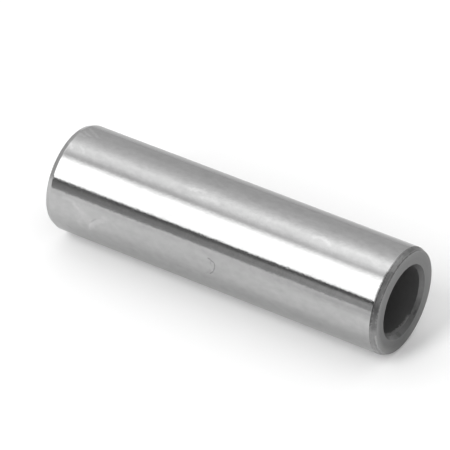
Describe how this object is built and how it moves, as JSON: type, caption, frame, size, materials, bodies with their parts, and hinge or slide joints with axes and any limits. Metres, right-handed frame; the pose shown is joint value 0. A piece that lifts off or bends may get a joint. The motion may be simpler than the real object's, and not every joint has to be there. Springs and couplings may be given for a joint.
{
  "type": "gudgeon pin",
  "caption": "Hollow ground steel gudgeon pin that joins a piston to its connecting rod, a straight tube with blended lead-in chamfers and a chamfered through bore.",
  "frame": {"origin": "middle of the lower end face, on the pin's axis, where the pin stands", "axes": "+Z along the pin's axis, from the lower end face to the upper one; X and Y across it, with no preferred direction, because the pin is round"},
  "size_m": [0.022, 0.022, 0.076],
  "materials": {
    "ground_steel": "ground and superfinished outside, turned satin chamfers and end faces, duller bore"
  },
  "bodies": {
    "root": {"gudgeon_pin": "ground_steel"}
  },
  "joints": []
}
